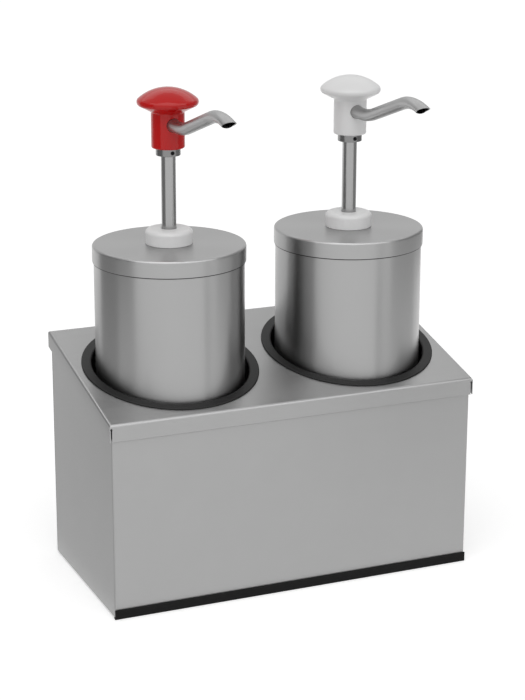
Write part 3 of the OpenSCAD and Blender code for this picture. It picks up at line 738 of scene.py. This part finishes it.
for side in SIDES:
    body_axis = pot_axis[side]
    low, high = span(f"{side}_container")
    radius = (high.x - low.x) / 2
    pot = spun(f"{side}_pot_shell", [
        (0, low.z, 0), (radius, low.z, POT_CORNER), (radius, high.z, POT_LIP),
        (radius - WALL, high.z, POT_LIP), (radius - WALL, low.z + WALL, POT_CORNER - WALL),
        (0, low.z + WALL, 0)], body_axis)
    dress(pot, turned_pot, f"{side}_pot", f"{side}_container")
    # The inner faces take the painted light.
    pot.data.materials.append(painted_light_pot_inside)
    axis = Vector((body_axis[0], body_axis[1]))
    for face in pot.data.polygons:
        reach = (Vector(face.center[:2]) - axis).length / MM
        if reach < radius - PAINTED_LIGHT_MARGIN and face.center.z / MM > low.z + PAINTED_LIGHT_MARGIN:
            face.material_index = 1
    low, high = span(f"{side}_lid")
    radius = (high.x - low.x) / 2
    lid = spun(f"{side}_lid_pressing", [
        (LID_HOLE, high.z, 0), (radius, high.z, LID_EDGE), (radius, low.z + HEM, HEM_BEND),
        (radius - HEM_TURN, low.z, HEM_EDGE), (radius - HEM_TURN - HEM_SHEET, low.z, HEM_EDGE),
        (radius - WALL, low.z + HEM, HEM_BEND), (radius - WALL, high.z - LID_TOP, LID_EDGE_INSIDE),
        (LID_HOLE, high.z - LID_TOP, 0)], body_axis)
    dress(lid, turned_lid, f"{side}_pump", f"{side}_lid")
    # The faces of the lower edge take the painted shade.
    lid.data.materials.append(painted_shade_hem)
    for face in lid.data.polygons:
        if face.center.z / MM < low.z + PAINTED_SHADE_HEIGHT:
            face.material_index = 1
    print(pot.name, len(pot.data.polygons), "faces,", lid.name, len(lid.data.polygons), "faces")


# %% [markdown]
# Collars, plunger tubes and clamp rings
#
# The white collar is a turned nut with a soft shoulder. The plunger tube is drawn stainless tube, and the
# small steel ring under the knob grips it with one radial grub screw, whose hole faces the front. All three
# are spun outlines again, with a bore, and the hole is a pin taken away from the ring.

# %% Collars, tubes and rings
COLLAR_EDGE, COLLAR_FOOT = 4.5, 0.8
COLLAR_BORE, COLLAR_LIP = 7.8, 0.6
NECK, NECK_TOP = 16.1, 10.3
TUBE_BORE = 6.0
TUBE_EDGE, TUBE_LIP = 0.4, 0.3
RING_BORE = 7.55
RING_CHAMFER = 0.6
RING_EDGE, RING_LIP = 0.3, 0.2
GRUB_HOLE = 2.1
SMALL_SIDES = 96
GRUB_SIDES = 32

for side in SIDES:
    place = pot_axis[side]
    low, high = span(f"{side}_collar")
    radius = (high.x - low.x) / 2
    collar = spun(f"{side}_collar_nut", [
        (NECK, low.z, 0), (radius, low.z, COLLAR_FOOT), (radius, high.z, COLLAR_EDGE),
        (COLLAR_BORE, high.z, COLLAR_LIP), (COLLAR_BORE, low.z + NECK_TOP, 0),
        (NECK, low.z + NECK_TOP, 0)], place, sides=SMALL_SIDES)
    dress(collar, white_acetal, f"{side}_pump", f"{side}_collar")
    low, high = span(f"{side}_plunger_tube")
    radius = (high.x - low.x) / 2
    tube = spun(f"{side}_plunger_tube_bright", [
        (TUBE_BORE, low.z, TUBE_LIP), (radius, low.z, TUBE_EDGE), (radius, high.z, TUBE_EDGE),
        (TUBE_BORE, high.z, TUBE_LIP)], place, sides=SMALL_SIDES)
    dress(tube, bright_tube, f"{side}_head", f"{side}_plunger_tube")
    low, high = span(f"{side}_steel_ring")
    radius = (high.x - low.x) / 2
    ring = spun(f"{side}_clamp_ring", [
        (RING_BORE, low.z, RING_LIP), (radius, low.z, RING_CHAMFER), (radius, high.z, RING_EDGE),
        (RING_BORE, high.z, RING_LIP)], place, sides=SMALL_SIDES)
    bore = Matrix.Translation((place[0], place[1], (low.z + high.z) / 2 * MM)) @ FORWARD
    cut(ring, [pin("grub_hole", GRUB_HOLE, 0, radius + OVERSHOOT, bore, sides=GRUB_SIDES)])
    dress(ring, ring_steel, f"{side}_head", f"{side}_steel_ring")
    print(side, "ring is", round(2 * radius, 1), "mm across")


# %% [markdown]
# The knobs
#
# Knob and stem are one moulding: a round stem, a short cone, a full rounded rim and a low dome for the palm.
# A flattened ball on a cylinder would come near, but its rim would have no radius of its own. So the knob is
# spun too. Its dome is an arc, worked out from its height and width. The spout enters through a plain hole in
# the stem, a little wider than the swaged end of the tube, which leaves a thin dark ring.

# %% The knob's outline
STEM, STEM_EDGE = 16.9, 1.6
CONE_HEIGHT, CONE_ROOT = 10.0, 2.0
DOME_HEIGHT, DOME_STEPS = 14.5, 24
RIM = 4.5


def knob_outline(radius, low, high):
    """Outline of the moulding: stem, cone, rim and dome, closed along the axis."""
    rim_z = high - DOME_HEIGHT
    rim_x = radius - RIM
    ball = (rim_x ** 2 + DOME_HEIGHT ** 2 - RIM ** 2) / (2 * (DOME_HEIGHT - RIM))
    ball_z = high - ball
    top_angle = math.atan2(rim_z - ball_z, rim_x)
    reach = math.hypot(rim_x - STEM, CONE_HEIGHT)
    cone = math.atan2(CONE_HEIGHT, rim_x - STEM) - math.asin(RIM / reach)
    corners = [(0, low, 0), (STEM, low, STEM_EDGE), (STEM, rim_z - CONE_HEIGHT, CONE_ROOT)]
    first, last = cone - math.pi / 2, top_angle
    for i in range(ARC_STEPS * 2 + 1):
        a = first + (last - first) * i / (ARC_STEPS * 2)
        corners.append((rim_x + RIM * math.cos(a), rim_z + RIM * math.sin(a), 0))
    for i in range(1, DOME_STEPS):
        a = top_angle + (math.pi / 2 - top_angle) * i / DOME_STEPS
        corners.append((ball * math.cos(a), ball_z + ball * math.sin(a), 0))
    corners.append((0, high, 0))
    return corners


print("stem", 2 * STEM, "mm across, rim rounded by", RIM, "mm")

# %% Knobs
SOCKET, SOCKET_DEPTH = 7.1, 2.8
TUBE_DEPTH = 15.2
ROOT_RADIUS, ROOT_LIFT = 6.8, 1.2
KNOB_SIDES = 128
KNOB_FINISH = {"left": (red_plastic, "red_knob"), "right": (white_acetal, "white_knob")}

root_z = {side: span(f"{side}_spout")[0].z + ROOT_RADIUS + ROOT_LIFT for side in SIDES}
for side in SIDES:
    place = pot_axis[side]
    low, high = span(f"{side}_knob")
    outline = knob_outline((high.x - low.x) / 2, low.z, high.z)
    knob = spun(f"{side}_knob_moulding", outline, place, sides=KNOB_SIDES)
    forward = Matrix.Translation((place[0], place[1], root_z[side] * MM)) @ FORWARD
    upright = Matrix.Translation((place[0], place[1], 0))
    cut(knob, [pin("socket", SOCKET, STEM - SOCKET_DEPTH, STEM + 2 * OVERSHOOT, forward),
               pin("tube_bore", RING_BORE, low.z - OVERSHOOT, low.z + TUBE_DEPTH, upright)])
    finish, slot = KNOB_FINISH[side]
    dress(knob, finish, f"{side}_head", f"{side}_knob")
    print(knob.name, "root of the spout at", round(root_z[side], 1), "mm")


# %% [markdown]
# The spouts
#
# Each spout is a piece of thin tube, bent twice. Its root is swaged out to a shoulder that sits in the
# knob, and its tip is pressed a little flat and cut off at a slant, so that it stops dripping. A curve with
# a round bevel gives a plain tube at once, but no shoulder, flat tip or slanted mouth. So the tube is made of
# rings of points, set square to a centre line, out along its skin and back along its bore.

# %% The line through a spout
SHOULDER_AT, SHOULDER_LENGTH, SHOULDER_CONE = 14.0, 4.0, 6.0
ROOT_START, ROOT_END = 5.0, 28.0
RISE, DROOP = math.radians(18.5), math.radians(14)
BEND_1, BEND_2 = 90.0, 72.0
RUN, TIP = 63.0, 3.6
TURN_STEPS, RUN_STEPS = 14, 6


def centre_line():
    """Places (reach, rise, heading, way along) on the spout's middle, from root to tip."""
    line = [(ROOT_START, 0, 0), (SHOULDER_AT, 0, 0), (SHOULDER_AT + SHOULDER_LENGTH, 0, 0),
            (SHOULDER_AT + SHOULDER_LENGTH + SHOULDER_CONE, 0, 0)]
    for i in range(TURN_STEPS + 1):
        a = RISE * i / TURN_STEPS
        line.append((ROOT_END + BEND_1 * math.sin(a), BEND_1 * (1 - math.cos(a)), a))
    x, y, a = line[-1]
    for i in range(1, RUN_STEPS):
        reach = RUN * i / RUN_STEPS
        line.append((x + reach * math.cos(a), y + reach * math.sin(a), a))
    x, y = x + RUN * math.cos(a), y + RUN * math.sin(a)
    for i in range(TURN_STEPS + 1):
        a = RISE - (RISE + DROOP) * i / TURN_STEPS
        line.append((x + BEND_2 * (math.sin(RISE) - math.sin(a)),
                     y + BEND_2 * (math.cos(a) - math.cos(RISE)), a))
    x, y, a = line[-1]
    line.append((x + TIP * math.cos(a), y + TIP * math.sin(a), a))
    out, along = [], 0
    for i, (x, y, a) in enumerate(line):
        if i:
            along += math.hypot(x - line[i - 1][0], y - line[i - 1][1])
        out.append((x, y, a, along))
    return out


line = centre_line()
length = line[-1][3]
print("a spout is", round(length, 1), "mm long and reaches out", round(line[-1][0], 1), "mm")

# %% Rings of points round the line
SPOUT = 6.2
SPOUT_WALL = 1.0
MOUTH_TILT = math.radians(62)
FLAT_LENGTH, FLAT_SHARE = 40.0, 0.16
TUBE_SIDES = 48


def tube_ring(bm, station, radius, slant=0):
    """A ring square to the line, flattened towards the tip, and leaning by the mouth's slant if wanted."""
    x, y, heading, along = station
    flat = max(0, along - length + FLAT_LENGTH) / FLAT_LENGTH
    flat = flat * flat * (3 - 2 * flat) * FLAT_SHARE
    ring = []
    for j in range(TUBE_SIDES):
        a = 2 * math.pi * j / TUBE_SIDES
        u = radius * (1 + flat) * math.sin(a)
        v = radius * (1 - flat) * math.cos(a)
        e = slant * v * math.tan(MOUTH_TILT - DROOP)
        reach = x + e * math.cos(heading) - v * math.sin(heading)
        rise = y + e * math.sin(heading) + v * math.cos(heading)
        ring.append(bm.verts.new((-u * MM, -reach * MM, rise * MM)))
    return ring


BORE = SPOUT - SPOUT_WALL
print("tube", 2 * SPOUT, "mm outside and", 2 * BORE, "mm inside")

# %% Spouts
SPOUT_SHARP = 40

for side in SIDES:
    bm = bmesh.new()
    rings = [tube_ring(bm, line[0], SPOUT), tube_ring(bm, line[1], SPOUT),
             tube_ring(bm, line[1], ROOT_RADIUS), tube_ring(bm, line[2], ROOT_RADIUS)]
    rings += [tube_ring(bm, station, SPOUT) for station in line[3:-1]]
    rings += [tube_ring(bm, line[-1], SPOUT, slant=1), tube_ring(bm, line[-1], BORE, slant=1)]
    rings += [tube_ring(bm, station, BORE) for station in line[-2:3:-1]]
    rings += [tube_ring(bm, line[0], BORE)]
    for i, ring in enumerate(rings):
        other = rings[(i + 1) % len(rings)]
        for j in range(TUBE_SIDES):
            k = (j + 1) % TUBE_SIDES
            bm.faces.new([ring[j], ring[k], other[k], other[j]])
    root = (pot_axis[side][0], pot_axis[side][1], root_z[side] * MM)
    bmesh.ops.translate(bm, verts=bm.verts, vec=root)
    spout = put(f"{side}_spout_tube", bm)
    dress(spout, satin_spout, f"{side}_head", f"{side}_spout", sharp=SPOUT_SHARP)
    print(spout.name, "has", len(spout.data.polygons), "faces")


# %% [markdown]
# The return springs
#
# Inside each barrel a compression spring pushes the plunger up. When the plunger goes down, the spring's foot
# stays and its coils close up. The wire's shape is copied from the mechanical part, and the copy gets its
# finish and rides on the pump's body in the part's place.

for side in SIDES:
    name = f"{side}_return_spring"
    spring = nodes[name].copy()
    spring.data = nodes[name].data.copy()
    spring.name = f"{side}_spring_wire"
    spring.parent = None
    bpy.context.scene.collection.objects.link(spring)
    low, high = span(name)
    spring.data.materials.clear()
    spring.data.materials.append(spring_wire)
    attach(spring, f"{side}_pump")
    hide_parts(name)
    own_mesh(spring)


# %% [markdown]
# The rest of the model
#
# Flat panels, the shelf, the straight edging and the pump's inner pieces are right as the mechanical model
# has them. They only need their finish, which goes into each node's own material slot. The nodes that new
# pieces stand for are hidden, and get theirs too.

# %% Finishes on the mechanical parts
FINISH = {
    "panel_wrap": brushed_sheet, "back_panel": brushed_sheet, "container_shelf": brushed_sheet,
    "front_edging": rubbed_rubber, "rear_edging": rubbed_rubber, "back_rivets": bright_tube,
    "gasket": silicone, "barrel": milky_plastic, "guide_bush": white_acetal, "rod_seal": nitrile_seal,
    "foot_valve": white_acetal, "suction_tube": milky_plastic, "suction_ball": bright_tube,
    "return_spring": spring_wire, "piston": white_acetal, "piston_seal": nitrile_seal,
    "discharge_ball": bright_tube, "grub_screw": black_oxide,
    "container": turned_pot, "lid": turned_lid, "collar": white_acetal, "plunger_tube": bright_tube,
    "steel_ring": ring_steel, "knob": white_acetal, "spout": satin_spout, "hole_edging": epdm_rubber,
    "top_plate": brushed_sheet,
}
for name, obj in nodes.items():
    kind = name
    for side in SIDES:
        kind = kind.removeprefix(side + "_")
    finish = FINISH[kind]
    if name == "left_knob":
        finish = red_plastic
    obj.data.materials.clear()
    obj.data.materials.append(finish)
print("finished", len(nodes), "nodes with", len(set(FINISH.values())), "materials")
